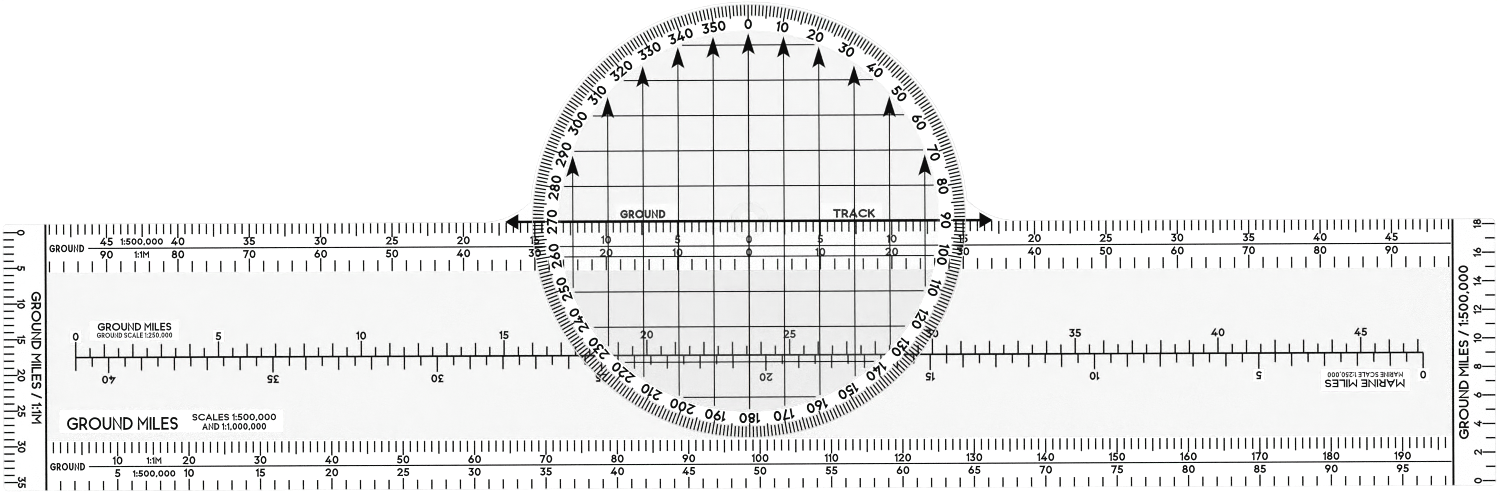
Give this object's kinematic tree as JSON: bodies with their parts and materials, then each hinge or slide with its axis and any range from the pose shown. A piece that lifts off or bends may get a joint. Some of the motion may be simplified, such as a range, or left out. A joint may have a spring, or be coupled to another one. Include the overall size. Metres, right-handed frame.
{
  "type": "rotating azimuth plotter",
  "caption": "Clear chart plotter: a straight scale blade with a round hump, and a clear compass disc with a grid that turns on a flush pivot.",
  "frame": {"origin": "centre of the disc's pivot, on the flat underside that lies on the chart; the course line passes over it", "axes": "+X along the blade towards its right end, +Y across the blade towards the round hump and the disc's 0 mark at rest, +Z out of the readable upper face"},
  "size_m": [0.3366, 0.1098, 0.0024],
  "materials": {
    "clear_blade": "clear polished sheet",
    "clear_disc": "clear polished sheet",
    "clear_pivot": "clear polished",
    "washer_film": "translucent slippery film",
    "grey_field": "pale grey see-through print",
    "white_ink": "opaque white print",
    "black_ink": "opaque black print"
  },
  "bodies": {
    "blade": {"base_blade": "clear_blade", "spacer_washer": "washer_film", "blade_grey_field": "grey_field", "upper_band_ground": "white_ink", "lower_band_ground": "white_ink", "end_line_left": "black_ink", "end_line_right": "black_ink", "course_line_left": "black_ink", "course_line_right": "black_ink", "upper_scale_line": "black_ink", "middle_scale_line": "black_ink", "lower_scale_line": "black_ink", "caption_ground_scales": "white_ink", "caption_ground_statute": "white_ink", "caption_ground_nautical": "white_ink", "caption_ground_course_left": "white_ink", "caption_ground_course_right": "white_ink"},
    "disc": {"azimuth_disc": "clear_disc", "pivot_stud": "clear_pivot", "retainer_cap": "clear_pivot", "disc_grid": "black_ink", "disc_grey_field": "grey_field", "azimuth_number_band": "white_ink"}
  },
  "joints": [
    {"name": "disc_turn", "type": "hinge", "parent": "blade", "child": "disc", "pos_m": [0, 0, 0], "axis": [0, 0, 1], "continuous": true}
  ]
}
